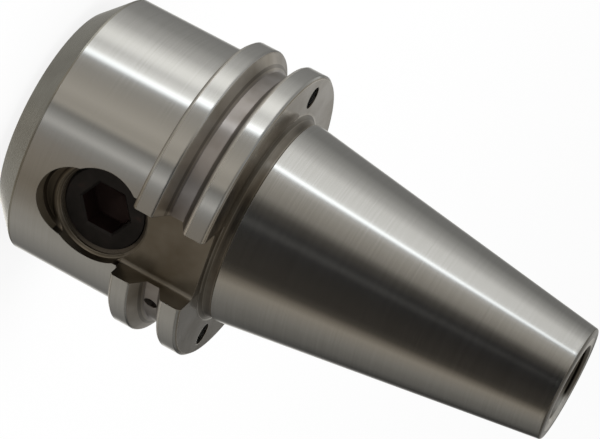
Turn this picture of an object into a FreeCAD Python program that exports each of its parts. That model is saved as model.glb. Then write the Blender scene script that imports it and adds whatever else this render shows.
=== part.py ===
"""Side lock end mill holder with a No. 40 steep-taper V-flange shank, millimetres.

The holder stands on its nose face: the origin is the centre of that face, +Z runs up the
spindle axis to the small end of the taper, and the lock screw looks along -Y. The drive slots
are at -Y (over the lock screw) and +Y.
"""
import FreeCAD
import Part
import math
import os

from FreeCAD import Vector

# nose and body
GAUGE_LENGTH = 50.0          # nose face to gauge line
BODY_D = 57.0
NOSE_CHAMFER = 5.65          # 45 degrees
BODY_CORNER_R = 0.4          # where the body meets the front of the flange

# tool bore
TOOL_D = 25.4                # 1 inch shank
BORE_CLEARANCE = 0.01        # on the radius
BORE_DEPTH = 57.0
BORE_CHAMFER = 1.0
BORE_END_ANGLE = 118.0       # drill point left at the bottom

# V-flange
FLANGE_D = 63.5
FLANGE_REAR_Z = -3.18        # from the gauge line, towards the nose
FLANGE_FRONT_Z = -19.10
FLANGE_EDGE_BREAK = 0.6
V_CENTRE_Z = -11.10
V_WIDTH = 7.04               # at the flange diameter
V_ANGLE = 60.0
V_DEPTH = 3.625              # flange surface to the root
V_EDGE_BREAK = 0.25

# taper
GAUGE_D = 44.45
TAPER_RATE = 7.0 / 24.0      # on the diameter
TAPER_LENGTH = 68.25         # gauge line to the small end
TAPER_START_Z = -0.65        # first ground line, from the gauge line
NECK_D = 44.1                # turned neck between the flange and the ground taper
NECK_FILLET = 1.6
TAPER_STEP = 0.2             # axial length of the step from the neck up to the taper
END_CHAMFER_LENGTH = 1.2
END_CHAMFER_DEPTH = 0.8

# drawbar thread, 5/8-11, and the coolant hole behind it
DRAWBAR_THREAD_D = 15.875
DRAWBAR_THREAD_DEPTH = 32.0
PILOT_D = 16.3
PILOT_DEPTH = 4.8
PILOT_CHAMFER = 0.5
COOLANT_D = 8.0
DRILL_ANGLE = 118.0

# drive slots
SLOT_WIDTH = 16.2
SLOT_FLOOR_SCREW_SIDE = 25.0     # from the axis
SLOT_FLOOR_FAR_SIDE = 22.6
SLOT_FLOOR_FILLET = 1.0
SLOT_RUN_OUT_SCREW_SIDE = -31.4  # centre of the cutter at the end of its cut, past the screw
SLOT_RUN_OUT_FAR_SIDE = -19.10

# lock screw, 3/4-16 socket set screw, and its hole
SCREW_THREAD_D = 19.05
SCREW_CLEARANCE = 0.05           # on the radius, running fit of the thread
SCREW_LENGTH = 9.525             # six threads
SCREW_TOP = 23.5                 # top face from the spindle axis
SCREW_TOP_CHAMFER = 0.65
SCREW_TIP_CHAMFER = 1.1
SCREW_HEX_AF = 9.525
SCREW_HEX_DEPTH = 5.5
SCREW_HEX_LEAD = 0.4
SCREW_Z = -26.5                  # from the gauge line
MOUTH_D = 20.2                   # clearance bore above the thread
MOUTH_FLOOR = 24.7               # from the spindle axis, just under the slot's floor

# coolant ports in the rear face of the flange
PORT_INSET = 4.75                # port centre from the flange surface
PORT_D = 4.8
PORT_DEPTH = 3.4
PORT_ANGLE = 71.4                # from the lock screw, the second one opposite
PORT_CHANNEL_D = 4.0
PORT_CHANNEL_SLOPE = 45.0

# small radial hole in the root of the V-groove
ROOT_HOLE_D = 2.9
ROOT_HOLE_DEPTH = 8.0
ROOT_HOLE_ANGLE = 30.0

# values that follow
GAUGE_Z = GAUGE_LENGTH
BODY_R = BODY_D / 2
FLANGE_R = FLANGE_D / 2
PORT_CIRCLE_R = FLANGE_R - PORT_INSET
FRONT_Z = GAUGE_Z + FLANGE_FRONT_Z
REAR_Z = GAUGE_Z + FLANGE_REAR_Z
END_Z = GAUGE_Z + TAPER_LENGTH
BORE_R = TOOL_D / 2 + BORE_CLEARANCE
SCREW_HOLE_R = SCREW_THREAD_D / 2
SCREW_R = SCREW_HOLE_R - SCREW_CLEARANCE
SCREW_AXIS_Z = GAUGE_Z + SCREW_Z


def taper_r(z):
    return GAUGE_D / 2 - (z - GAUGE_Z) * TAPER_RATE / 2


def turned(points):
    """Solid turned round the Z axis from (radius, height) points."""
    wire = Part.makePolygon([Vector(r, 0, z) for r, z in points + points[:1]])
    return Part.Face(wire).revolve(Vector(0, 0, 0), Vector(0, 0, 1), 360)


def arc_points(centre_r, centre_z, radius, start, stop, count):
    out = []
    for i in range(count + 1):
        a = math.radians(start + (stop - start) * i / count)
        out.append((centre_r + radius * math.cos(a), centre_z + radius * math.sin(a)))
    return out


def holder_outline():
    """Half section of the outside, from the nose face up to the small end."""
    v_half = V_WIDTH / 2
    slope = math.tan(math.radians(V_ANGLE / 2))
    root_r = FLANGE_R - V_DEPTH
    root_half = v_half - V_DEPTH * slope
    v_z = GAUGE_Z + V_CENTRE_Z
    break_in = V_EDGE_BREAK * slope
    neck_r = NECK_D / 2
    start_z = GAUGE_Z + TAPER_START_Z
    points = [
        (0, 0),
        (BODY_R - NOSE_CHAMFER, 0),
        (BODY_R, NOSE_CHAMFER),
        (BODY_R, FRONT_Z - BODY_CORNER_R),
        (BODY_R + BODY_CORNER_R, FRONT_Z),
        (FLANGE_R - FLANGE_EDGE_BREAK, FRONT_Z),
        (FLANGE_R, FRONT_Z + FLANGE_EDGE_BREAK),
        (FLANGE_R, v_z - v_half - V_EDGE_BREAK),
        (FLANGE_R - V_EDGE_BREAK, v_z - v_half + break_in),
        (root_r, v_z - root_half),
        (root_r, v_z + root_half),
        (FLANGE_R - V_EDGE_BREAK, v_z + v_half - break_in),
        (FLANGE_R, v_z + v_half + V_EDGE_BREAK),
        (FLANGE_R, REAR_Z - FLANGE_EDGE_BREAK),
        (FLANGE_R - FLANGE_EDGE_BREAK, REAR_Z),
    ]
    points += arc_points(neck_r + NECK_FILLET, REAR_Z + NECK_FILLET, NECK_FILLET, 270, 180, 6)
    points += [
        (neck_r, start_z - TAPER_STEP),
        (taper_r(start_z), start_z),
        (taper_r(END_Z - END_CHAMFER_LENGTH), END_Z - END_CHAMFER_LENGTH),
        (taper_r(END_Z) - END_CHAMFER_DEPTH, END_Z),
        (0, END_Z),
    ]
    return points


def inside():
    """Tool bore, coolant hole, drawbar thread and pilot as one turned cutter."""
    thread_r = DRAWBAR_THREAD_D / 2
    pilot_r = PILOT_D / 2
    coolant_r = COOLANT_D / 2
    bore_cone = (BORE_R - coolant_r) / math.tan(math.radians(BORE_END_ANGLE / 2))
    drill_cone = (thread_r - coolant_r) / math.tan(math.radians(DRILL_ANGLE / 2))
    thread_end = END_Z - DRAWBAR_THREAD_DEPTH
    return turned([
        (0, -1),
        (BORE_R + BORE_CHAMFER + 1, -1),
        (BORE_R, BORE_CHAMFER),
        (BORE_R, BORE_DEPTH),
        (coolant_r, BORE_DEPTH + bore_cone),
        (coolant_r, thread_end - drill_cone),
        (thread_r, thread_end),
        (thread_r, END_Z - PILOT_DEPTH - (pilot_r - thread_r)),
        (pilot_r, END_Z - PILOT_DEPTH),
        (pilot_r, END_Z - PILOT_CHAMFER),
        (pilot_r + PILOT_CHAMFER + 1, END_Z + 1),
        (0, END_Z + 1),
    ])


def drive_slot(floor, run_out, side):
    """Cutter of one drive slot: side is -1 over the lock screw, +1 on the far side."""
    height = FLANGE_R + 5 - floor
    run_z = GAUGE_Z + run_out
    length = REAR_Z + 1 - run_z
    half = SLOT_WIDTH / 2
    bar = Part.makeBox(SLOT_WIDTH, height, length, Vector(-half, floor, run_z))
    corners = [e for e in bar.Edges
               if abs(e.Vertexes[0].Y - floor) < 1e-6 and abs(e.Vertexes[1].Y - floor) < 1e-6
               and abs(e.Vertexes[0].X - e.Vertexes[1].X) < 1e-6]
    bar = bar.makeFillet(SLOT_FLOOR_FILLET, corners)
    mill = Part.makeCylinder(half, height, Vector(0, floor, run_z), Vector(0, 1, 0))
    rim = [e for e in mill.Edges if e.Closed and abs(e.CenterOfMass.y - floor) < 1e-6]
    mill = mill.makeFillet(SLOT_FLOOR_FILLET, rim[:1])
    cutter = bar.fuse(mill)
    if side < 0:
        cutter.rotate(Vector(0, 0, 0), Vector(0, 0, 1), 180)
    return cutter


def screw_hole():
    """Threaded hole of the lock screw with the clearance bore and lead of its mouth, along -Y."""
    reach = FLANGE_R + 5
    away = Vector(0, -1, 0)
    centre = Vector(0, 0, SCREW_AXIS_Z)
    hole = Part.makeCylinder(SCREW_HOLE_R, reach, centre, away)
    mouth_r = MOUTH_D / 2
    mouth = Part.makeCylinder(mouth_r, reach - MOUTH_FLOOR, Vector(0, -MOUTH_FLOOR, SCREW_AXIS_Z), away)
    lead = mouth_r - SCREW_HOLE_R
    cone = Part.makeCone(SCREW_HOLE_R, mouth_r, lead, Vector(0, -MOUTH_FLOOR + lead, SCREW_AXIS_Z), away)
    return hole.multiFuse([mouth, cone])


def coolant_port(angle):
    """Port in the rear face of the flange and its sloping channel to the tool bore."""
    a = math.radians(angle)
    out = Vector(math.sin(a), -math.cos(a), 0)
    mouth = out * PORT_CIRCLE_R
    port = Part.makeCylinder(PORT_D / 2, PORT_DEPTH + 1,
                             mouth + Vector(0, 0, REAR_Z - PORT_DEPTH), Vector(0, 0, 1))
    slope = math.radians(PORT_CHANNEL_SLOPE)
    start = mouth + Vector(0, 0, REAR_Z - PORT_DEPTH + 0.2)
    run = out * -math.sin(slope) + Vector(0, 0, -math.cos(slope))
    length = (PORT_CIRCLE_R - BORE_R + 2) / math.sin(slope)
    return port.fuse(Part.makeCylinder(PORT_CHANNEL_D / 2, length, start, run))


def root_hole():
    a = math.radians(ROOT_HOLE_ANGLE)
    out = Vector(math.sin(a), -math.cos(a), 0)
    start = out * (FLANGE_R - V_DEPTH - ROOT_HOLE_DEPTH) + Vector(0, 0, GAUGE_Z + V_CENTRE_Z)
    return Part.makeCylinder(ROOT_HOLE_D / 2, ROOT_HOLE_DEPTH + 1, start, out)


def holder_body():
    solid = turned(holder_outline())
    cutters = [
        inside(),
        screw_hole(),
        drive_slot(SLOT_FLOOR_SCREW_SIDE, SLOT_RUN_OUT_SCREW_SIDE, -1),
        drive_slot(SLOT_FLOOR_FAR_SIDE, SLOT_RUN_OUT_FAR_SIDE, 1),
        coolant_port(PORT_ANGLE),
        coolant_port(PORT_ANGLE + 180),
        root_hole(),
    ]
    for cutter in cutters:
        solid = solid.cut(cutter)
    return solid.removeSplitter()


def hexagon(across_flats, height):
    """Prism with two corners in the plane of the spindle axis once the screw is laid down."""
    r = across_flats / math.sqrt(3)
    turns = [math.radians(60 * i + 30) for i in range(7)]
    corners = [Vector(r * math.cos(a), r * math.sin(a), 0) for a in turns]
    return Part.Face(Part.makePolygon(corners)).extrude(Vector(0, 0, height))


def lock_screw():
    """Flat-point socket set screw, made upright and laid along -Y with its socket outside."""
    tip_r = SCREW_R - SCREW_TIP_CHAMFER
    top_r = SCREW_R - SCREW_TOP_CHAMFER
    shape = turned([
        (0, 0),
        (tip_r, 0),
        (SCREW_R, SCREW_TIP_CHAMFER),
        (SCREW_R, SCREW_LENGTH - SCREW_TOP_CHAMFER),
        (top_r, SCREW_LENGTH),
        (0, SCREW_LENGTH),
    ])
    socket = hexagon(SCREW_HEX_AF, SCREW_HEX_DEPTH + 1)
    socket.translate(Vector(0, 0, SCREW_LENGTH - SCREW_HEX_DEPTH))
    corner_r = SCREW_HEX_AF / math.sqrt(3)
    lead = Part.makeCone(corner_r - SCREW_HEX_LEAD, corner_r + SCREW_HEX_LEAD, 2 * SCREW_HEX_LEAD,
                         Vector(0, 0, SCREW_LENGTH - SCREW_HEX_LEAD))
    shape = shape.cut(socket).cut(lead)
    shape.rotate(Vector(0, 0, 0), Vector(1, 0, 0), 90)
    shape.translate(Vector(0, -(SCREW_TOP - SCREW_LENGTH), SCREW_AXIS_Z))
    return shape


def main():
    os.makedirs("parts", exist_ok=True)
    nodes = {"holder_body": holder_body(), "lock_screw": lock_screw()}
    for name, shape in nodes.items():
        solids = shape.Solids
        if len(solids) != 1 or not shape.isValid():
            raise SystemExit(f"{name}: {len(solids)} solids, valid {shape.isValid()}")
        solids[0].exportStep(f"parts/{name}.step")
        box = shape.BoundBox
        print(name, "volume %.0f" % shape.Volume, "x %.2f..%.2f y %.2f..%.2f z %.2f..%.2f" % (
            box.XMin, box.XMax, box.YMin, box.YMax, box.ZMin, box.ZMax))


main()
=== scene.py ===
"""Looks of the side lock end mill holder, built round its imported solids.

Named sizes are in mm, and meshes are in metres. The holder stands on its nose with the spindle axis along
+Z; the lock screw looks along -Y.
"""
import math

import bmesh
import bpy
from mathutils import Matrix, Vector


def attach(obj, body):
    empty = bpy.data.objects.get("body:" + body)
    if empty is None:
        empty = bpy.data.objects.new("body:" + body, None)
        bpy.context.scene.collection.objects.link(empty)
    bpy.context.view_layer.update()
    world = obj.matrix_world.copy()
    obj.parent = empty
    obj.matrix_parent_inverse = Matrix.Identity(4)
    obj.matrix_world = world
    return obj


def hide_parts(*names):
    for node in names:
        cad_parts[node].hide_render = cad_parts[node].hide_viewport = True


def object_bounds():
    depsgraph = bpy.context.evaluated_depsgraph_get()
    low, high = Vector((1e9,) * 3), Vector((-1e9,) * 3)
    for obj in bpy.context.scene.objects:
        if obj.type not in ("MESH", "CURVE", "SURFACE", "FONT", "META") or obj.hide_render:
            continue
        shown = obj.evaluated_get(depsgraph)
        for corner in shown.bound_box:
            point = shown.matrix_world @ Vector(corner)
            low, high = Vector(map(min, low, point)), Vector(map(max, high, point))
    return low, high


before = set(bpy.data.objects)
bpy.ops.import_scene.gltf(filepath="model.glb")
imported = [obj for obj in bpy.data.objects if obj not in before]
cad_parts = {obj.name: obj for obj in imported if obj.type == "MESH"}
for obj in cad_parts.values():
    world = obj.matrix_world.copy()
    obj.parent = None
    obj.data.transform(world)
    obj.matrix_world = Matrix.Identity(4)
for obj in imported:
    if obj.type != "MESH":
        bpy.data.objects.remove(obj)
cad_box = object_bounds()
MM = 0.001


# Holder body
# One piece of case-hardened alloy steel, turned, milled and then ground. The body, the two lands and the
# taper are ground round the axis, which draws each reflection into a streak along it. The V-groove, neck,
# chamfers, slots and holes are left as cut, so they are duller and browner from the hardening.
# Heights above the nose face, then radii and half a slot's width.
HOLDER_HEIGHT = round(cad_box[1][2] / MM, 2)
SHANK_LENGTH = 68.25
GAUGE_Z = HOLDER_HEIGHT - SHANK_LENGTH
SCREW_AXIS_Z = GAUGE_Z - 26.5
RECESS_AXIS_Z = GAUGE_Z - 31.4
NOSE_CHAMFER_TOP = 5.65
BODY_CORNER = 30.48
FLANGE_FRONT = 30.9
LAND_LOW = 31.5
GROOVE_LOW = 35.16
GROOVE_ROOT_LOW = 37.2
GROOVE_ROOT_HIGH = 40.6
GROOVE_HIGH = 42.64
LAND_TOP = 46.25
FLANGE_REAR = 46.83
TAPER_START = 49.34
MOUTH_LOW = HOLDER_HEIGHT - 3
TAPER_STOP = HOLDER_HEIGHT - 0.45
BODY_R = 28.5
FLANGE_R = round(cad_box[1][0] / MM, 2)
ROOT_R = 26.6
BORE_R = 12.71
MOUTH_RIM_R = 10.4
SLOT_HALF = 8.14

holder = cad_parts["holder_body"]


def linear(code):
    """An sRGB hex colour as linear RGBA."""
    def channel(pair):
        v = int(pair, 16) / 255
        return v / 12.92 if v <= 0.04045 else ((v + 0.055) / 1.055) ** 2.4
    return tuple(channel(code[i:i + 2]) for i in (0, 2, 4)) + (1.0,)


def add(tree, kind, inputs=None, out=0, **settings):
    """Adds one shader node with its settings and links, and gives back one of its outputs."""
    made = tree.nodes.new("ShaderNode" + kind)
    for name, value in settings.items():
        setattr(made, name, value)
    for name, value in (inputs or {}).items():
        if isinstance(value, bpy.types.NodeSocket):
            tree.links.new(value, made.inputs[name])
        else:
            made.inputs[name].default_value = value
    return made.outputs[out] if len(made.outputs) else None


def fill_ramp(socket, stops, mode="LINEAR", start=0.0, end=1.0):
    """Stops are (place, colour or grey) pairs in rising order; the places run from start to end."""
    ramp = socket.node.color_ramp
    ramp.interpolation = mode
    while len(ramp.elements) < len(stops):
        ramp.elements.new(1.0)
    for element, (place, colour) in zip(ramp.elements, stops):
        element.position = (place - start) / (end - start)
        element.color = linear(colour) if isinstance(colour, str) else (colour, colour, colour, 1.0)


def new_material(name):
    """A material with an empty node tree."""
    material = bpy.data.materials.new(name)
    material.use_nodes = True
    material.node_tree.nodes.clear()
    return material


# The ramps by height run from the nose face to a little past the small end, and a ramp that gives a radius
# gives it as a share of FULL_R.
RAMP_TOP = HOLDER_HEIGHT + 1
FULL_R = 40.0
# A point this much inside a turned surface lies in a cut, more on the rear land with its rounded edge.
SKIN = 0.06
LAND_SKIN = 0.8
# A point this near to the height of the flange's rear face, or of the end face, lies on it.
REAR_SLACK = 0.05
END_SLACK = 0.02
# The tool bore's mouth, the tool bore, the knob's hole and its mouth: each from this height, inside this
# radius.
HOLLOWS = ((0, 13.8), (1.1, 12.8), (66, 8.3), (117.6, 8.75))


def ground_share(tree, up):
    """How much of each zone was ground, from the nose up: 1 is ground all over, 0 is left as cut."""
    ground = add(tree, "ValToRGB", {0: up})
    fill_ramp(ground, [(0, 0.35), (NOSE_CHAMFER_TOP, 1), (BODY_CORNER, 0), (LAND_LOW, 1), (GROOVE_LOW, 0),
                       (GROOVE_HIGH, 1), (LAND_TOP, 0), (TAPER_START, 1), (TAPER_STOP, 0.2)],
              "CONSTANT", end=RAMP_TOP)
    return ground


def cut_places(tree, x, radius, up):
    """Masks of all that was milled or bored, and of the slots' run-outs in the body, which lie within it."""
    x_size = add(tree, "Math", {0: x}, operation="ABSOLUTE")
    in_width = add(tree, "Math", {0: x_size, 1: SLOT_HALF}, operation="LESS_THAN")
    under_land = add(tree, "Math", {0: radius, 1: FLANGE_R - SKIN}, operation="LESS_THAN")
    in_flange = add(tree, "Math", {0: in_width, 1: under_land}, operation="MULTIPLY")
    flange_zone = add(tree, "ValToRGB", {0: up})
    fill_ramp(flange_zone, [(0, 0), (BODY_CORNER, 1), (FLANGE_REAR, 0)], "CONSTANT", end=RAMP_TOP)
    slot = add(tree, "Math", {0: in_flange, 1: flange_zone}, operation="MULTIPLY")

    in_body = add(tree, "Math", {0: radius, 1: BODY_R - SKIN}, operation="LESS_THAN")
    body_zone = add(tree, "ValToRGB", {0: up})
    fill_ramp(body_zone, [(0, 0), (NOSE_CHAMFER_TOP + 0.1, 1), (BODY_CORNER, 0)], "CONSTANT", end=RAMP_TOP)
    run_out = add(tree, "Math", {0: in_body, 1: body_zone}, operation="MULTIPLY")

    hollow_share = add(tree, "ValToRGB", {0: up})
    fill_ramp(hollow_share, [(height, r / FULL_R) for height, r in HOLLOWS], "CONSTANT", end=RAMP_TOP)
    hollow_r = add(tree, "Math", {0: hollow_share, 1: FULL_R}, operation="MULTIPLY")
    hollow = add(tree, "Math", {0: radius, 1: hollow_r}, operation="LESS_THAN")
    milled = add(tree, "Math", {0: slot, 1: run_out}, operation="MAXIMUM")
    return add(tree, "Math", {0: milled, 1: hollow}, operation="MAXIMUM"), run_out


def drilled_places(tree, z, radius, up):
    """Mask of the small radial hole in the groove and the coolant ports, deeper than what was turned."""
    turned_share = add(tree, "ValToRGB", {0: up})
    fill_ramp(turned_share, [(0, 0), (GROOVE_ROOT_LOW, ROOT_R / FULL_R), (GROOVE_ROOT_HIGH, 0),
                             (GROOVE_HIGH, (FLANGE_R - LAND_SKIN) / FULL_R), (FLANGE_REAR - 0.1, 0)],
              "CONSTANT", end=RAMP_TOP)
    turned_r = add(tree, "Math", {0: turned_share, 1: FULL_R}, operation="MULTIPLY")
    deep = add(tree, "Math", {0: radius, 1: turned_r}, operation="LESS_THAN")
    under_rear = add(tree, "Math", {0: z, 1: FLANGE_REAR - REAR_SLACK}, operation="LESS_THAN")
    return add(tree, "Math", {0: deep, 1: under_rear}, operation="MULTIPLY")


def turned_tone(tree, z, radius, up, rear_face):
    """Tone of each zone as the lathe left it, with painted highlights on some of its edges."""
    tone = add(tree, "ValToRGB", {0: up})
    # painted highlights: the light band at the flange's front edge, and the groove's upper wall, which is
    # painted lighter and lighter up to the land's edge
    fill_ramp(tone, [
        (0, "aca99b"), (BODY_CORNER, "cfcbc3"), (FLANGE_FRONT, "fdfbf6"), (LAND_LOW, "a6a49c"),
        (GROOVE_LOW, "d6d1ca"), (GROOVE_ROOT_LOW, "d6d2d2"), (GROOVE_ROOT_HIGH - 0.15, "98938f"),
        (GROOVE_ROOT_HIGH + 0.1, "8a8682"), (41.6, "b4b0ab"), (41.85, "dedad4"), (42.05, "fffdf8"),
        (LAND_TOP, "c9c3b8"), (FLANGE_REAR - 0.03, "98938b"), (FLANGE_REAR + 0.05, "b8b3ab"),
        (FLANGE_REAR + 0.5, "a29d95"), (FLANGE_REAR + 1.1, "9c9790"), (FLANGE_REAR + 1.8, "bcb7af"),
        (FLANGE_REAR + 2.2, "b8b3ab"), (TAPER_START, "a6a49c"), (TAPER_STOP, "8f8c86")],
        "CONSTANT", end=RAMP_TOP)
    # painted shade darkens the sharp corner of the groove and the foot of the neck's fillet
    for middle, half, shaded_tone in ((GROOVE_ROOT_LOW - 0.33, 0.19, "aba6a0"),
                               (FLANGE_REAR + 0.32, 0.26, "878279")):
        corner = add(tree, "Math", {0: z, 1: middle, 2: half}, operation="COMPARE")
        tone = add(tree, "Mix", {"Factor": corner, "A": tone, "B": linear(shaded_tone)}, "Result",
                   data_type="RGBA")
    # the rear face of the flange was turned finely, and the small end has a painted highlight, a light band
    # round its hole
    tone = add(tree, "Mix", {"Factor": rear_face, "A": tone, "B": linear("e3dfd9")}, "Result",
               data_type="RGBA")
    end_face = add(tree, "Math", {0: z, 1: HOLDER_HEIGHT - END_SLACK}, operation="GREATER_THAN")
    near_hole = add(tree, "Math", {0: radius, 1: MOUTH_RIM_R}, operation="LESS_THAN")
    rim_highlight = add(tree, "Math", {0: end_face, 1: near_hole}, operation="MULTIPLY")
    return add(tree, "Mix", {"Factor": rim_highlight, "A": tone, "B": linear("f6f3ec")}, "Result", data_type="RGBA")


# Radii in the recess round the lock screw. Round the screw's axis: how far its tones reach, and just outside
# the hole's mouth. Round the cutter's axis: where the floor's fillet and the wall start.
RECESS_REACH = 17.0
SCREW_MOUTH_R = 10.9
FILLET_START_R = 7.5
WALL_START_R = 8.0


def recess_tone(tree, x, z):
    """Tone of the recess round the lock screw, and the mask of its wall."""
    level = add(tree, "Math", {0: z, 1: SCREW_AXIS_Z}, operation="SUBTRACT")
    from_screw = add(tree, "CombineXYZ", {"X": x, "Y": level})
    screw_r = add(tree, "VectorMath", {0: from_screw}, "Value", operation="LENGTH")
    # the thread's lead, painted light as a highlight, the rings that the cutter left round the hole's mouth,
    # a dark ring just outside the mouth, which is painted shade, and the plain floor
    reach = add(tree, "Math", {0: screw_r, 1: RECESS_REACH}, operation="DIVIDE")
    floor_tone = add(tree, "ValToRGB", {0: reach})
    fill_ramp(floor_tone, [(0, "6b645b"), (9.0, "f6efe2"), (9.45, "cdc6b8"), (9.7, "7c756b"),
                           (10.05, "b9b1a3"), (10.4, "857d71"), (10.8, "433d37"), (11.1, "7d766b"),
                           (RECESS_REACH - 1, "736c61")], end=RECESS_REACH)
    # below its axis the cutter left a round end, and above it straight sides
    below_axis = add(tree, "Math", {0: RECESS_AXIS_Z, 1: z}, operation="SUBTRACT")
    round_end = add(tree, "Math", {0: below_axis, 1: 0.0}, operation="MAXIMUM")
    from_cutter = add(tree, "CombineXYZ", {"X": x, "Y": round_end})
    cutter_r = add(tree, "VectorMath", {0: from_cutter}, "Value", operation="LENGTH")
    outside = add(tree, "Math", {0: screw_r, 1: SCREW_MOUTH_R}, operation="GREATER_THAN")
    past_fillet = add(tree, "Math", {0: cutter_r, 1: FILLET_START_R}, operation="GREATER_THAN")
    past_wall = add(tree, "Math", {0: cutter_r, 1: WALL_START_R}, operation="GREATER_THAN")
    fillet_zone = add(tree, "Math", {0: past_fillet, 1: outside}, operation="MULTIPLY")
    wall_zone = add(tree, "Math", {0: past_wall, 1: outside}, operation="MULTIPLY")
    # the floor's fillet is painted dark, as painted shade in the corner
    with_fillet = add(tree, "Mix", {"Factor": fillet_zone, "A": floor_tone, "B": linear("413b33")}, "Result",
                      data_type="RGBA")
    tone = add(tree, "Mix", {"Factor": wall_zone, "A": with_fillet, "B": linear("9c9485")}, "Result",
               data_type="RGBA")
    return tone, wall_zone


# The side of the pilot bore that is painted lit, as painted light, lies this way, from and to these
# distances off the axis.
PAINTED_LIT_SIDE = (0.848, -0.53, 0)
PAINTED_LIT_FROM = 1.6
PAINTED_LIT_TO = 3.4


def slot_and_hole_tone(tree, place_mm, z, up):
    """Tone of the drive slots, and of the retention knob's hole, which is painted dark below its mouth as
    painted shade.
    """
    # the knob's hole is painted darker the deeper it goes: painted shade
    slots = add(tree, "ValToRGB", {0: up})
    fill_ramp(slots, [(0, "b0aaa0"), (60, "b0aaa0"), (70, "4a4744"), (116.9, "5c5955"), (117.3, "85827c"),
                      (117.8, "a5a29c")], end=RAMP_TOP)
    # the pilot bore at the mouth: below a lighter top to its wall, a painted shadow line, a painted
    # highlight line and painted shade deeper in; one side is painted lit
    mouth_place = add(tree, "MapRange", {"Value": z, "From Min": MOUTH_LOW, "From Max": HOLDER_HEIGHT})
    mouth = add(tree, "ValToRGB", {0: mouth_place})
    fill_ramp(mouth, [(MOUTH_LOW, "2c2a27"), (116.6, "2c2a27"), (116.8, "e9e6df"), (117.15, "e9e6df"),
                      (117.25, "35322e"), (117.55, "35322e"), (117.7, "8f8b85"),
                      (HOLDER_HEIGHT, "a5a29c")], start=MOUTH_LOW, end=HOLDER_HEIGHT)
    across = add(tree, "VectorMath", {0: place_mm, 1: PAINTED_LIT_SIDE}, "Value", operation="DOT_PRODUCT")
    painted_lit_share = add(tree, "MapRange", {"Value": across, "From Min": PAINTED_LIT_FROM, "From Max": PAINTED_LIT_TO},
                interpolation_type="SMOOTHSTEP")
    pilot = add(tree, "Mix", {"Factor": painted_lit_share, "A": mouth, "B": linear("efeeea")}, "Result",
                data_type="RGBA")
    in_mouth = add(tree, "Math", {0: z, 1: MOUTH_LOW}, operation="GREATER_THAN")
    return add(tree, "Mix", {"Factor": in_mouth, "A": slots, "B": pilot}, "Result", data_type="RGBA")


def edge_break(tree, up):
    """Every sharp edge was broken with a stone, more so at the groove's front lip and the flange's rear."""
    edge_r = add(tree, "ValToRGB", {0: up})
    fill_ramp(edge_r, [(height, size * MM) for height, size in (
        (0, 0.15), (GROOVE_LOW - 0.8, 0.5), (GROOVE_LOW + 0.8, 0.15), (LAND_TOP - 0.6, 0.3),
        (FLANGE_REAR + 0.1, 0.15))], "CONSTANT", end=RAMP_TOP)
    return add(tree, "Bevel", {"Radius": edge_r}, samples=6)


# Marks to the mm, few round the axis (x and y) and many along it (z). Grinding lines are really 0.02 mm
# apart and the turning tool's feed was 0.15 mm; they are drawn ten and three times coarser, so that they
# show.
GRINDING_LINES = (0.05, 0.05, 4.5)
TURNING_MARKS = (0.12, 0.12, 2.2)
GRINDING_DEPTH = 0.0012
TURNING_DEPTH = 0.02


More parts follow.
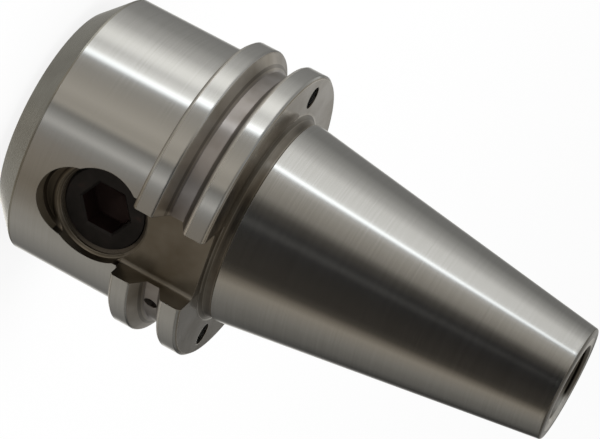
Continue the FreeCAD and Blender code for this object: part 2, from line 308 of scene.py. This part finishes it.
def holder_steel():
    """Ground steel with a fine sheen round the axis, and dull brown-grey steel where it was only cut."""
    material = new_material("case_hardened_ground_steel")
    tree = material.node_tree
    place = add(tree, "TexCoord", out="Object")
    place_mm = add(tree, "VectorMath", {0: place, 1: (1 / MM, 1 / MM, 1 / MM)}, operation="MULTIPLY")
    x = add(tree, "SeparateXYZ", {0: place_mm}, "X")
    z = x.node.outputs["Z"]
    flat = add(tree, "VectorMath", {0: place_mm, 1: (1, 1, 0)}, operation="MULTIPLY")
    radius = add(tree, "VectorMath", {0: flat}, "Value", operation="LENGTH")
    up = add(tree, "Math", {0: z, 1: RAMP_TOP}, operation="DIVIDE")

    ground = ground_share(tree, up)
    cut, run_out = cut_places(tree, x, radius, up)
    drilled = drilled_places(tree, z, radius, up)
    rear_face = add(tree, "Math", {0: z, 1: FLANGE_REAR, 2: REAR_SLACK}, operation="COMPARE")
    fine = add(tree, "Mix", {"Factor": cut, "A": ground, "B": 0.0}, "Result")

    # grain is the cast of scale from the hardening, and cloud the stains that oil left, about 10 mm across
    lines_at = add(tree, "VectorMath", {0: place_mm, 1: GRINDING_LINES}, operation="MULTIPLY")
    lines = add(tree, "TexNoise", {"Vector": lines_at, "Scale": 1.0, "Detail": 3.0, "Roughness": 0.6})
    feed_at = add(tree, "VectorMath", {0: place_mm, 1: TURNING_MARKS}, operation="MULTIPLY")
    feed = add(tree, "TexNoise", {"Vector": feed_at, "Scale": 1.0, "Detail": 4.0, "Roughness": 0.65})
    grain = add(tree, "TexNoise", {"Vector": place_mm, "Scale": 3.0, "Detail": 4.0, "Roughness": 0.7})
    cloud = add(tree, "TexNoise", {"Vector": place_mm, "Scale": 0.09, "Detail": 3.0, "Roughness": 0.55})

    turned = turned_tone(tree, z, radius, up, rear_face)
    recess, wall_zone = recess_tone(tree, x, z)
    past_body = add(tree, "Math", {0: z, 1: BODY_CORNER}, operation="GREATER_THAN")
    above = slot_and_hole_tone(tree, place_mm, z, up)
    inside = add(tree, "Mix", {"Factor": past_body, "A": recess, "B": above}, "Result", data_type="RGBA")
    # the drilled holes are painted a dark brown inside, as painted shade
    outside = add(tree, "Mix", {"Factor": drilled, "A": turned, "B": linear("6a5d50")}, "Result",
                  data_type="RGBA")
    tone = add(tree, "Mix", {"Factor": cut, "A": outside, "B": inside}, "Result", data_type="RGBA")
    stained = add(tree, "ValToRGB", {0: cloud})
    fill_ramp(stained, [(0.3, "c9c4bb"), (0.7, "ffffff")])
    dull = add(tree, "Mix", {"Factor": 1.0, "A": tone, "B": stained}, "Result", data_type="RGBA",
               blend_type="MULTIPLY")
    bright = add(tree, "ValToRGB", {0: lines})
    fill_ramp(bright, [(0.3, "c3c3c0"), (0.7, "cbcbc9")])
    base = add(tree, "Mix", {"Factor": fine, "A": dull, "B": bright}, "Result", data_type="RGBA")

    rough_ground = add(tree, "MapRange", {"Value": lines, "From Min": 0.3, "From Max": 0.7,
                                          "To Min": 0.14, "To Max": 0.18})
    rough_cut = add(tree, "MapRange", {"Value": grain, "From Min": 0.3, "From Max": 0.7,
                                       "To Min": 0.36, "To Max": 0.46})
    # the cutter's side leaves the wall of the recess rougher than its floor
    rough_zone = add(tree, "Math", {0: wall_zone, 1: run_out}, operation="MULTIPLY")
    rough_wall = add(tree, "Mix", {"Factor": rough_zone, "A": rough_cut, "B": 0.8}, "Result")
    rough_turned = add(tree, "Mix", {"Factor": cut, "A": 0.33, "B": rough_wall}, "Result")
    rough_rear = add(tree, "Mix", {"Factor": rear_face, "A": rough_turned, "B": 0.17}, "Result")
    rough = add(tree, "Mix", {"Factor": fine, "A": rough_rear, "B": rough_ground}, "Result")

    # the marks round the axis draw a reflection out: most on the turned zones, least on the rear face
    unground = add(tree, "Math", {0: fine, 1: 0.1}, operation="LESS_THAN")
    uncut = add(tree, "Math", {0: 1.0, 1: cut}, operation="SUBTRACT")
    ringed = add(tree, "Math", {0: unground, 1: uncut}, operation="MULTIPLY")
    drawn_turned = add(tree, "Mix", {"Factor": ringed, "A": 0.8, "B": 0.98}, "Result")
    drawn_out = add(tree, "Mix", {"Factor": rear_face, "A": drawn_turned, "B": 0.2}, "Result")
    around = add(tree, "Tangent", direction_type="RADIAL", axis="Z")

    marks = add(tree, "Mix", {"Factor": fine, "A": feed, "B": lines}, "Result")
    depth = add(tree, "MapRange", {"Value": fine, "To Min": TURNING_DEPTH * MM,
                                   "To Max": GRINDING_DEPTH * MM})
    height = add(tree, "Math", {0: marks, 1: depth}, operation="MULTIPLY")
    bump = add(tree, "Bump", {"Height": height, "Strength": 1.0, "Distance": 1.0,
                              "Normal": edge_break(tree, up)})
    shader = add(tree, "BsdfPrincipled", {
        "Base Color": base, "Metallic": 1.0, "Roughness": rough, "Anisotropic": drawn_out,
        "Anisotropic Rotation": 0.25, "Normal": bump, "Tangent": around})
    add(tree, "OutputMaterial", {"Surface": shader})
    return material


holder.material_slots[0].material = holder_steel()


# Threads of the holder
# The 3/4-16 thread that the lock screw runs in and the 5/8-11 thread for the retention knob, both tapped
# right-handed. The solids have plain walls at the major diameter; these are the ridges between the grooves.
INCH = 25.4
SCREW_PITCH = INCH / 16
SCREW_HOLE_R = INCH * 3 / 8
SCREW_RIDGE_R = 8.72
SCREW_THREAD_LOW = 8.6
SCREW_THREAD_HIGH = 24.3
SCREW_MOUTH_FLOOR = 24.7
SCREW_MOUTH_BORE_R = 10.1
SCREW_LEAD = SCREW_MOUTH_FLOOR - (SCREW_MOUTH_BORE_R - SCREW_HOLE_R)
KNOB_PITCH = INCH / 11
KNOB_HOLE_R = INCH * 5 / 16
KNOB_RIDGE_R = 6.72
KNOB_THREAD_LOW = 87.6
KNOB_THREAD_TOP = 113.24
FLANK_ANGLE = math.radians(29.5)
CREST_SHARE = 0.105
RIDGE_STEPS = 72
FADE_STEPS = 24
# Half a crest is CREST_SHARE of the pitch. The ridge's root is sunk in the wall, where the ridge has faded
# out it still stands RIDGE_FADED off its root, and it is nowhere lower than RIDGE_LEAST.
RIDGE_SUNK = 0.05
RIDGE_FADED = 0.03
RIDGE_LEAST = 0.02


def screw_place(radius, angle, reach):
    """A point round the lock screw's axis, reach out from the spindle axis."""
    return Vector((radius * math.cos(angle), -reach, SCREW_AXIS_Z + radius * math.sin(angle)))


def spindle_place(radius, angle, height):
    """A point round the spindle axis."""
    return Vector((radius * math.cos(angle), radius * math.sin(angle), height))


def mesh_object(name, points, faces, material, sharp=30):
    """An object from points in mm, smooth but for the edges sharper than so many degrees."""
    mesh = bpy.data.meshes.new(name)
    mesh.from_pydata([Vector(p) * MM for p in points], [], faces)
    mesh.validate()
    outward = bmesh.new()
    outward.from_mesh(mesh)
    bmesh.ops.recalc_face_normals(outward, faces=outward.faces)
    outward.to_mesh(mesh)
    outward.free()
    for polygon in mesh.polygons:
        polygon.use_smooth = True
    mesh.set_sharp_from_angle(angle=math.radians(sharp))
    made = bpy.data.objects.new(name, mesh)
    made.data.materials.append(material)
    bpy.context.scene.collection.objects.link(made)
    return made


def thread_ridge(name, material, place, pitch, wall_r, ridge_r, low, high, offset, lead, free):
    """One ridge that winds along a tapped hole, sunk a little in its wall and faded out at both ends.

    A thread starts at the offset, and its crests are cut back to a 45 degree countersink that meets the
    wall at the lead. free says how much of the ridge is left at a point.
    """
    turns = (high - low) / pitch
    count = int(turns * RIDGE_STEPS)
    root = wall_r + RIDGE_SUNK
    faded = root - RIDGE_FADED
    points = []
    for i in range(count + 1):
        middle = low + pitch * turns * i / count
        angle = 2 * math.pi * (turns * i / count + (low - offset) / pitch)
        fade = min(1.0, i / FADE_STEPS, (count - i) / FADE_STEPS) * free(place(ridge_r, angle, middle))
        crest = faded - (faded - ridge_r) * fade
        for side in (-1, 1):
            crest_at = middle + side * CREST_SHARE * pitch
            root_at = crest_at + side * (root - crest) * math.tan(FLANK_ANGLE)
            crest_r = max(crest, min(root - RIDGE_LEAST, wall_r + crest_at - lead))
            foot = place(root, angle, min(root_at, lead + RIDGE_FADED))
            top = place(crest_r, angle, min(crest_at, lead + RIDGE_LEAST))
            points += [foot, top] if side < 0 else [top, foot]
    faces = []
    for i in range(count):
        for k in range(4):
            a, b = 4 * i + k, 4 * i + (k + 1) % 4
            faces.append((a, b, b + 4, a + 4))
    faces += [(0, 1, 2, 3), tuple(4 * count + k for k in (3, 2, 1, 0))]
    return mesh_object(name, points, faces, material)


def tapped_steel():
    """Cut threads: oily, darker than the outside, with the tap's fine drag lines."""
    material = new_material("tapped_hardened_steel")
    tree = material.node_tree
    place = add(tree, "TexCoord", out="Object")
    # drag lines about 0.05 mm apart, drawn five times coarser
    grain = add(tree, "TexNoise", {"Vector": place, "Scale": 4200.0, "Detail": 4.0, "Roughness": 0.65})
    colour = add(tree, "ValToRGB", {0: grain})
    fill_ramp(colour, [(0.3, "5d574f"), (0.7, "7b746b")])
    rough = add(tree, "MapRange", {"Value": grain, "To Min": 0.4, "To Max": 0.6})
    bump = add(tree, "Bump", {"Height": grain, "Strength": 0.5, "Distance": 0.02 * MM})
    shader = add(tree, "BsdfPrincipled", {"Base Color": colour, "Metallic": 1.0, "Roughness": rough,
                                          "Normal": bump})
    add(tree, "OutputMaterial", {"Surface": shader})
    return material


def clear_of_bore(point):
    """1 where the ridge lies in the screw hole's wall, 0 where the tool bore has cut it away."""
    gap, full = 0.1, 0.5
    return min(1.0, max(0.0, (math.hypot(point.x, point.y) - BORE_R - gap) / full))


tapped = tapped_steel()
screw_thread = thread_ridge("lock_screw_hole_thread", tapped, screw_place, SCREW_PITCH, SCREW_HOLE_R,
                            SCREW_RIDGE_R, SCREW_THREAD_LOW, SCREW_THREAD_HIGH, offset=SCREW_PITCH / 2,
                            lead=SCREW_LEAD, free=clear_of_bore)
knob_thread = thread_ridge("retention_knob_thread", tapped, spindle_place, KNOB_PITCH, KNOB_HOLE_R,
                           KNOB_RIDGE_R, KNOB_THREAD_LOW, KNOB_THREAD_TOP, offset=0.0,
                           lead=KNOB_THREAD_TOP, free=lambda point: 1.0)
for ridge in (screw_thread, knob_thread):
    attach(ridge, "holder")


# Rounding of the small end
# Where the ground taper meets the end face the corner is rounded to about half a millimetre. The ring stands
# on the wider chamfer that the solid has there, and reaches a little way down the taper.
GAUGE_R = 22.225
TAPER_SLOPE = 7 / 48
CHAMFER_LOW = HOLDER_HEIGHT - 1.2
CHAMFER_INNER_R = 11.45
ROUND_SPAN = 0.5
ROUND_STEPS = 8
RING_FOOT = CHAMFER_LOW - 0.5
RING_SUNK = 0.03
RING_DIP = 0.3
RING_THICK = 0.6
AROUND_STEPS = 240


def taper_r(height):
    """Radius of the ground taper at a height."""
    return GAUGE_R - (height - GAUGE_Z) * TAPER_SLOPE


def small_end_section():
    """The ring's section as (radius, height): up the taper, round the corner, in, and back underneath."""
    round_from = HOLDER_HEIGHT - ROUND_SPAN
    start_r, corner_r = taper_r(round_from), taper_r(HOLDER_HEIGHT)
    section = [(taper_r(RING_FOOT) - RING_SUNK, RING_FOOT)]
    section += [(taper_r(height), height) for height in (CHAMFER_LOW, CHAMFER_LOW + RING_DIP, round_from)]
    for k in range(1, ROUND_STEPS + 1):
        s = k / ROUND_STEPS
        radius = (1 - s) ** 2 * start_r + 2 * s * (1 - s) * corner_r + s * s * (corner_r - ROUND_SPAN)
        section.append((radius, HOLDER_HEIGHT - (1 - s) ** 2 * ROUND_SPAN))
    section += [(CHAMFER_INNER_R, HOLDER_HEIGHT), (CHAMFER_INNER_R - RING_DIP, HOLDER_HEIGHT - RING_DIP),
                (taper_r(RING_FOOT) - RING_THICK, RING_FOOT)]
    return section


section = small_end_section()
end_points = [spindle_place(radius, 2 * math.pi * i / AROUND_STEPS, height)
              for i in range(AROUND_STEPS) for radius, height in section]
end_faces = []
for i in range(AROUND_STEPS):
    here, there = i * len(section), (i + 1) % AROUND_STEPS * len(section)
    for k in range(len(section)):
        n = (k + 1) % len(section)
        end_faces.append((here + k, there + k, there + n, here + n))
small_end = mesh_object("small_end_rounding", end_points, end_faces, holder.material_slots[0].material,
                        sharp=40)
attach(small_end, "holder")


# Lock screw
# A 3/4-16 flat-point socket set screw in black oxide: rolled thread, chamfered ends and a broached
# hexagon socket, 3/8 in across flats, with a lead round its mouth and the drill's cone at the bottom.
# Its top and tip are given as their reach from the spindle axis.
SCREW_TOP = 23.5
SCREW_LENGTH = 6 * SCREW_PITCH
SCREW_TIP = SCREW_TOP - SCREW_LENGTH
SCREW_CREST_R = 9.45
SCREW_ROOT_R = 8.58
CREST_HALF_WIDTH = 0.07
TOP_FACE_R = 8.66
TOP_CHAMFER_SLOPE = 1.2
TIP_FACE_R = 7.9
TIP_HOLLOW = 0.02
TIP_EDGE_R = 8.3
SOCKET_LAND_R = 8.35
HEX_FLATS = INCH * 3 / 8
HEX_LEAD = 0.45
HEX_DEPTH = 5.5
CONE_R = 4.5
CONE_DEPTH = 1.6
AXIS_R = 0.05
SCREW_STEPS = 96
SCREW_LEVELS = 150


def screw_profile(angle, reach):
    """Radius of the rolled thread, with flanks at 30 degrees, cut back by the chamfers at its two ends."""
    phase = (reach / SCREW_PITCH - angle / (2 * math.pi)) % 1.0
    off_crest = min(phase, 1 - phase) * SCREW_PITCH
    radius = max(SCREW_ROOT_R, SCREW_CREST_R - max(0.0, off_crest - CREST_HALF_WIDTH) * math.sqrt(3))
    under_top = TOP_FACE_R + (SCREW_TOP - reach) * TOP_CHAMFER_SLOPE
    return min(radius, under_top, TIP_EDGE_R + reach - SCREW_TIP)


def hexagon_r(angle, flats):
    """Distance from the axis to the socket's wall in one direction."""
    turn = (angle + math.pi / 6) % (math.pi / 3) - math.pi / 6
    return flats / 2 / math.cos(turn)


def lock_screw_rings():
    """Rings of points from the tip, up the thread, over the top face and down into the socket."""
    angles = [2 * math.pi * i / SCREW_STEPS for i in range(SCREW_STEPS)]
    rings = [[screw_place(AXIS_R, a, SCREW_TIP + TIP_HOLLOW) for a in angles],
             [screw_place(TIP_FACE_R, a, SCREW_TIP) for a in angles]]
    for k in range(SCREW_LEVELS + 1):
        reach = SCREW_TIP + SCREW_LENGTH * k / SCREW_LEVELS
        rings.append([screw_place(screw_profile(a, reach), a, reach) for a in angles])
    rings.append([screw_place(SOCKET_LAND_R, a, SCREW_TOP) for a in angles])
    for flats, depth in ((HEX_FLATS + 2 * HEX_LEAD, 0.0), (HEX_FLATS, HEX_LEAD), (HEX_FLATS, HEX_DEPTH)):
        rings.append([screw_place(hexagon_r(a, flats), a, SCREW_TOP - depth) for a in angles])
    for radius, depth in ((CONE_R, 0.05), (AXIS_R, CONE_DEPTH)):
        rings.append([screw_place(radius, a, SCREW_TOP - HEX_DEPTH - depth) for a in angles])
    return rings


# The socket's mask starts this far below the top face and ends at this radius.
RUST_BELOW = 0.5
RUST_R = 6.2


def black_oxide():
    """Black oxide is a thin soft-black skin on the steel, a little brown where it is thin or worn."""
    material = new_material("black_oxide_alloy_steel")
    tree = material.node_tree
    place = add(tree, "TexCoord", out="Object")
    # the skin's grain is some hundredths of a millimetre and is drawn at 0.4 mm; its worn patches are 4 mm
    grain = add(tree, "TexNoise", {"Vector": place, "Scale": 2600.0, "Detail": 5.0, "Roughness": 0.65})
    cloud = add(tree, "TexNoise", {"Vector": place, "Scale": 260.0, "Detail": 3.0, "Roughness": 0.5})
    skin = add(tree, "ValToRGB", {0: cloud})
    fill_ramp(skin, [(0.3, "1b1917"), (0.62, "262220"), (0.75, "3a2a25")])
    # the oxide is thinner in the broached socket, which shows some rust
    y = add(tree, "SeparateXYZ", {0: place}, "Y")
    below_face = add(tree, "Math", {0: y, 1: (RUST_BELOW - SCREW_TOP) * MM}, operation="GREATER_THAN")
    level = add(tree, "VectorMath", {0: place, 1: (0, 0, -SCREW_AXIS_Z * MM)}, operation="ADD")
    flat = add(tree, "VectorMath", {0: level, 1: (1, 0, 1)}, operation="MULTIPLY")
    from_axis = add(tree, "VectorMath", {0: flat}, "Value", operation="LENGTH")
    near_axis = add(tree, "Math", {0: from_axis, 1: RUST_R * MM}, operation="LESS_THAN")
    socket = add(tree, "Math", {0: below_face, 1: near_axis}, operation="MULTIPLY")
    colour = add(tree, "Mix", {"Factor": socket, "A": skin, "B": linear("2e1f1c")}, "Result",
                 data_type="RGBA")
    rough = add(tree, "MapRange", {"Value": grain, "From Min": 0.3, "From Max": 0.7, "To Min": 0.34,
                                   "To Max": 0.5})
    bump = add(tree, "Bump", {"Height": grain, "Strength": 0.6, "Distance": 0.02 * MM})
    shader = add(tree, "BsdfPrincipled", {"Base Color": colour, "Metallic": 0.6, "Roughness": rough,
                                          "Normal": bump})
    add(tree, "OutputMaterial", {"Surface": shader})
    return material


rings = lock_screw_rings()
screw_faces = []
for k in range(len(rings) - 1):
    a, b = k * SCREW_STEPS, (k + 1) * SCREW_STEPS
    for i in range(SCREW_STEPS):
        j = (i + 1) % SCREW_STEPS
        screw_faces.append((a + i, a + j, b + j, b + i))
last = (len(rings) - 1) * SCREW_STEPS
screw_faces.append(tuple(range(SCREW_STEPS))[::-1])
screw_faces.append(tuple(last + i for i in range(SCREW_STEPS)))
screw = mesh_object("threaded_lock_screw", [p for ring in rings for p in ring], screw_faces,
                    black_oxide(), sharp=25)
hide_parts("lock_screw")
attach(screw, "screw")


# Camera
# It stands 0.57 m from the holder's middle, a little above it and on the lock screw's side, with a long
# lens. It is rolled over, so that the standing holder lies in the picture as it does in the photograph.
CAMERA_AT = (-299.291, -471.979, 170.703)
CAMERA_AZIMUTH = -122.0
CAMERA_ELEVATION = 11.711
CAMERA_ROLL = 118.062
CAMERA_LENS = 170.209

camera_data = bpy.data.cameras.new("camera")
camera_data.lens = CAMERA_LENS
camera_data.sensor_width = 36.0
camera_data.clip_start = 0.01
camera = bpy.data.objects.new("camera", camera_data)
turn = (Matrix.Rotation(math.radians(CAMERA_AZIMUTH + 90), 4, "Z")
        @ Matrix.Rotation(math.radians(90 - CAMERA_ELEVATION), 4, "X")
        @ Matrix.Rotation(math.radians(CAMERA_ROLL), 4, "Z"))
camera.matrix_world = Matrix.Translation(Vector(CAMERA_AT) * MM) @ turn
bpy.context.scene.collection.objects.link(camera)
bpy.context.scene.camera = camera


# Studio
# A white table under the holder, a white backdrop and a soft box to its left, with the dark room and
# the camera in front of it. The ground steel shows these round it as bands along its length.
OVERHEAD = (0.3, 0.3, 0.3, 1)
FLOOR_BELOW = (0.36, 0.36, 0.36, 1)


def studio_world():
    """The room as the steel sees it: rings one above another, each a ramp of brightness by heading.

    Headings are in degrees round the holder, from the camera's own.
    """
    world = bpy.data.worlds.new("studio")
    world.use_nodes = True
    tree = world.node_tree
    tree.nodes.clear()
    way = add(tree, "TexCoord", out="Generated")
    front = math.radians(CAMERA_AZIMUTH)
    ahead = add(tree, "VectorMath", {0: way, 1: (math.cos(front), math.sin(front), 0)}, "Value",
                operation="DOT_PRODUCT")
    side = add(tree, "VectorMath", {0: way, 1: (-math.sin(front), math.cos(front), 0)}, "Value",
               operation="DOT_PRODUCT")
    angle = add(tree, "Math", {0: side, 1: ahead}, operation="ARCTAN2")
    around = add(tree, "MapRange", {"Value": angle, "From Min": -math.pi, "From Max": math.pi})
    z = add(tree, "SeparateXYZ", {0: way}, "Z")

    wall = add(tree, "ValToRGB", {0: around})
    fill_ramp(wall, [
        (-180, 0.46), (-170, 0.4), (-156, 0.2), (-128, 0.23), (-112, 0.38), (-96, 0.6), (-84, 0.9),
        (-64, 1.05), (-60, 1.2), (-58, 2.3), (-56, 2.3), (-53, 0.72), (-44, 0.45), (-34, 0.37), (-24, 0.3),
        (-18, 0.16), (-12, 0.06), (0, 0.03), (7, 0.065), (14, 0.02), (54, 0.03), (64, 0.07), (70, 0.2),
        (80, 0.36), (98, 0.26), (112, 0.19), (128, 0.14), (150, 0.04), (158, 0.08), (168, 0.26),
        (180, 0.46)], start=-180, end=180)
    table = add(tree, "ValToRGB", {0: around})
    fill_ramp(table, [
        (-180, 0.9), (-168, 0.54), (-160, 0.22), (-144, 0.27), (-124, 0.35), (-100, 0.68), (-84, 1.36),
        (-78, 1.36), (-70, 0.94), (-62, 1.3), (-58.5, 2.4), (-56, 2.4), (-53, 0.56), (-44, 0.4),
        (-34, 0.45), (-21, 0.6), (-12, 0.52), (-8, 0.58), (-3, 0.24), (3, 0.45), (9, 0.74), (14, 0.42),
        (20, 0.32), (48, 0.27), (62, 0.22), (80, 0.25), (94, 0.36), (112, 0.38), (150, 0.18), (158, 0.2),
        (167, 0.72), (180, 0.9)], start=-180, end=180)
    under = add(tree, "ValToRGB", {0: around})
    fill_ramp(under, [
        (-180, 0.7), (-165, 0.34), (-100, 0.36), (140, 0.28), (154, 0.34), (162, 0.45), (165, 0.62),
        (168, 1.7), (171.5, 2.9), (175, 3.3), (180, 0.9)], start=-180, end=180)
    upper = add(tree, "ValToRGB", {0: around})
    fill_ramp(upper, [
        (-180, 0.2), (-178, 0.34), (-171, 0.4), (-163, 0.68), (-146, 0.45), (-136, 0.34), (-116, 0.36),
        (-84, 0.5), (-40, 0.45), (-15, 0.1), (0, 0.012), (30, 0.02), (60, 0.07), (100, 0.14), (136, 0.2),
        (150, 0.15), (160, 0.22), (168, 0.26), (174, 0.09), (178, 0.08), (180, 0.2)], start=-180, end=180)

    # each ring takes over from the one before between two rises of the line of sight
    seen = wall
    for rise_from, rise_to, ring in ((-0.07, -0.21, table), (-0.27, -0.45, under),
                                     (-0.66, -0.86, FLOOR_BELOW), (0.14, 0.21, upper),
                                     (0.6, 0.85, OVERHEAD)):
        taken = add(tree, "MapRange", {"Value": z, "From Min": rise_from, "From Max": rise_to},
                    interpolation_type="SMOOTHSTEP")
        seen = add(tree, "Mix", {"Factor": taken, "A": seen, "B": ring}, "Result", data_type="RGBA")
    # cool daylight where the soft box stands, and the warm light of the room in front and to the right
    hue = add(tree, "ValToRGB", {0: around})
    fill_ramp(hue, [
        (-180, "fffdf8"), (-110, "fffdf8"), (-62, "fffefb"), (-56, "f6fbff"), (-49, "fffaf2"),
        (-34, "fff7ea"), (-8, "fff6e8"), (0, "fffcf6"), (14, "fffcf7"), (24, "fff5e8"), (40, "fff1de"),
        (66, "ffefd8"), (100, "fff8ec"), (180, "fffdf8")], start=-180, end=180)
    tinted = add(tree, "Mix", {"Factor": 1.0, "A": seen, "B": hue}, "Result", data_type="RGBA",
                 blend_type="MULTIPLY")
    studio = add(tree, "Background", {"Color": tinted, "Strength": 1.0})
    plain = add(tree, "Background", {"Color": (0.85, 0.85, 0.85, 1), "Strength": 1.0})
    backdrop = add(tree, "Background", {"Color": (1, 1, 1, 1), "Strength": 1.0})
    glossy = add(tree, "LightPath", out="Is Glossy Ray")
    lit = add(tree, "MixShader", {0: glossy, 1: plain, 2: studio})
    shown = add(tree, "MixShader", {0: glossy.node.outputs["Is Camera Ray"], 1: lit, 2: backdrop})
    add(tree, "OutputWorld", {"Surface": shown})
    return world


bpy.context.scene.world = studio_world()
bpy.context.scene.view_settings.view_transform = "Standard"

HOLDER_MIDDLE = (0, 0, 60)
LAMP_AT = (-350, 100, 750)
LAMP_SIZE = 500
lamp_data = bpy.data.lights.new("overhead_softbox", "AREA")
lamp_data.shape = "DISK"
lamp_data.size = LAMP_SIZE * MM
lamp_data.energy = 2.6
lamp = bpy.data.objects.new("overhead_softbox", lamp_data)
lamp.location = Vector(LAMP_AT) * MM
lamp.rotation_euler = (Vector(HOLDER_MIDDLE) - Vector(LAMP_AT)).to_track_quat("-Z", "Y").to_euler()
lamp.visible_glossy = False
bpy.context.scene.collection.objects.link(lamp)


def table_paper():
    """Matt white paper, which the camera sees nearly white all over, with the holder's soft shadow."""
    material = new_material("matt_white_table")
    tree = material.node_tree
    paper = add(tree, "BsdfDiffuse", {"Color": (0.9, 0.9, 0.9, 1)})
    glow = add(tree, "Emission", {"Color": (1, 1, 1, 1), "Strength": 1.0})
    seen = add(tree, "MixShader", {0: 0.85, 1: paper, 2: glow})
    camera_ray = add(tree, "LightPath", out="Is Camera Ray")
    top = add(tree, "MixShader", {0: camera_ray, 1: paper, 2: seen})
    add(tree, "OutputMaterial", {"Surface": top})
    return material


TABLE_HALF = 3000
floor_mesh = bpy.data.meshes.new("table_top")
floor_mesh.from_pydata([(x * TABLE_HALF * MM, y * TABLE_HALF * MM, 0)
                        for x, y in ((-1, -1), (1, -1), (1, 1), (-1, 1))], [], [(0, 1, 2, 3)])
floor = bpy.data.objects.new("table_top", floor_mesh)
floor.data.materials.append(table_paper())
floor.visible_glossy = False
bpy.context.scene.collection.objects.link(floor)


bpy.context.view_layer.update()
